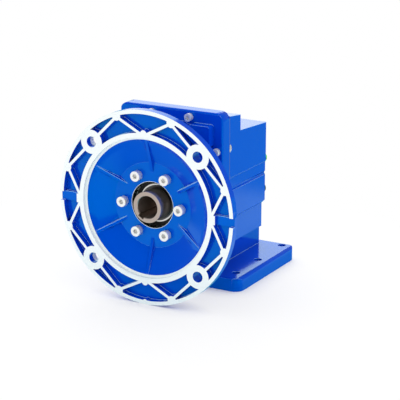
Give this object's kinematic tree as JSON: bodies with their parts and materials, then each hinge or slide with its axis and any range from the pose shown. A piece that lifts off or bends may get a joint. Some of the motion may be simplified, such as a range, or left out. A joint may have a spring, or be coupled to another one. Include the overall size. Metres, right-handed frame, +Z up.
{
  "type": "geared speed reducer",
  "caption": "Foot-mounted in-line helical gear reducer with a round motor flange, hollow keyed input shaft, stepped cast case and keyed output shaft.",
  "frame": {"origin": "centre of the motor flange's machined face, on the axis of the input and output shafts", "axes": "+Y along the shafts from the motor to the output shaft's end, +Z up from the mounting feet, +X to the side with the filler plug"},
  "size_m": [0.25, 0.257, 0.25],
  "materials": {
    "blue_cast_paint": "glossy paint over cast iron, machined faces bare",
    "zinc_screw": "bright zinc",
    "ground_steel": "ground",
    "gasket": "oiled paper",
    "black_rubber": "satin",
    "green_plastic": "moulded",
    "shaft_steel": "turned and ground",
    "spring_steel": "oiled",
    "gear_steel": "ground teeth",
    "bearing_steel": "polished",
    "brass": "pressed"
  },
  "bodies": {
    "housing": {"motor_flange": "blue_cast_paint", "flange_screws": "zinc_screw", "input_cover": "blue_cast_paint", "cover_gasket": "gasket", "cover_screws": "zinc_screw", "dowel_pins": "ground_steel", "gear_case": "blue_cast_paint", "foot_bracket": "blue_cast_paint", "bracket_screws": "zinc_screw", "filler_plug_base": "black_rubber", "filler_plug_cap": "green_plastic", "level_plug": "black_rubber", "input_seal": "black_rubber", "output_seal": "black_rubber", "output_bearing_circlip": "spring_steel", "input_bearing_shields": "black_rubber", "input_front_bearing_outer": "bearing_steel", "input_rear_bearing_outer": "bearing_steel", "intermediate_front_bearing_outer": "bearing_steel", "intermediate_rear_bearing_outer": "bearing_steel", "output_front_bearing_outer": "bearing_steel", "output_rear_bearing_outer": "bearing_steel"},
    "input_rotor": {"input_shaft": "shaft_steel", "input_circlip": "spring_steel", "input_pinion": "gear_steel", "input_front_bearing_inner": "bearing_steel", "input_rear_bearing_inner": "bearing_steel"},
    "intermediate_rotor": {"intermediate_shaft": "shaft_steel", "wheel_key": "ground_steel", "intermediate_wheel": "gear_steel", "pinion_key": "ground_steel", "intermediate_pinion": "gear_steel", "intermediate_front_bearing_inner": "bearing_steel", "intermediate_rear_bearing_inner": "bearing_steel"},
    "output_rotor": {"output_shaft": "shaft_steel", "output_gear_key": "ground_steel", "output_gear": "gear_steel", "output_spacer": "shaft_steel", "output_front_bearing_inner": "bearing_steel", "output_rear_bearing_inner": "bearing_steel"},
    "input_front_balls": {"input_front_bearing_balls": "bearing_steel", "input_front_bearing_cage": "brass"},
    "input_rear_balls": {"input_rear_bearing_balls": "bearing_steel", "input_rear_bearing_cage": "brass"},
    "intermediate_front_balls": {"intermediate_front_bearing_balls": "bearing_steel", "intermediate_front_bearing_cage": "brass"},
    "intermediate_rear_balls": {"intermediate_rear_bearing_balls": "bearing_steel", "intermediate_rear_bearing_cage": "brass"},
    "output_front_balls": {"output_front_bearing_balls": "bearing_steel", "output_front_bearing_cage": "brass"},
    "output_rear_balls": {"output_rear_bearing_balls": "bearing_steel", "output_rear_bearing_cage": "brass"}
  },
  "joints": [
    {"name": "output_spin", "type": "hinge", "parent": "housing", "child": "output_rotor", "pos_m": [0, 0.184, 0], "axis": [0, 1, 0], "continuous": true},
    {"name": "input_spin", "type": "hinge", "parent": "housing", "child": "input_rotor", "pos_m": [0, 0.05, 0], "axis": [0, 1, 0], "continuous": true},
    {"name": "intermediate_spin", "type": "hinge", "parent": "housing", "child": "intermediate_rotor", "pos_m": [0, 0.1, 0.057], "axis": [0, 1, 0], "continuous": true},
    {"name": "input_front_balls_spin", "type": "hinge", "parent": "housing", "child": "input_front_balls", "pos_m": [0, 0.0391, 0], "axis": [0, 1, 0], "continuous": true},
    {"name": "input_rear_balls_spin", "type": "hinge", "parent": "housing", "child": "input_rear_balls", "pos_m": [0, 0.0755, 0], "axis": [0, 1, 0], "continuous": true},
    {"name": "intermediate_front_balls_spin", "type": "hinge", "parent": "housing", "child": "intermediate_front_balls", "pos_m": [0, 0.076, 0.057], "axis": [0, 1, 0], "continuous": true},
    {"name": "intermediate_rear_balls_spin", "type": "hinge", "parent": "housing", "child": "intermediate_rear_balls", "pos_m": [0, 0.143, 0.057], "axis": [0, 1, 0], "continuous": true},
    {"name": "output_front_balls_spin", "type": "hinge", "parent": "housing", "child": "output_front_balls", "pos_m": [0, 0.143, 0], "axis": [0, 1, 0], "continuous": true},
    {"name": "output_rear_balls_spin", "type": "hinge", "parent": "housing", "child": "output_rear_balls", "pos_m": [0, 0.1635, 0], "axis": [0, 1, 0], "continuous": true}
  ],
  "couplings": [
    {"joint": "input_spin", "follows": "output_spin", "ratio": 5.3303},
    {"joint": "intermediate_spin", "follows": "output_spin", "ratio": -2.3846},
    {"joint": "input_front_balls_spin", "follows": "output_spin", "ratio": 2.2644},
    {"joint": "input_rear_balls_spin", "follows": "output_spin", "ratio": 2.1231},
    {"joint": "intermediate_front_balls_spin", "follows": "output_spin", "ratio": -0.91327},
    {"joint": "intermediate_rear_balls_spin", "follows": "output_spin", "ratio": -0.91327},
    {"joint": "output_front_balls_spin", "follows": "output_spin", "ratio": 0.39913},
    {"joint": "output_rear_balls_spin", "follows": "output_spin", "ratio": 0.39972}
  ]
}
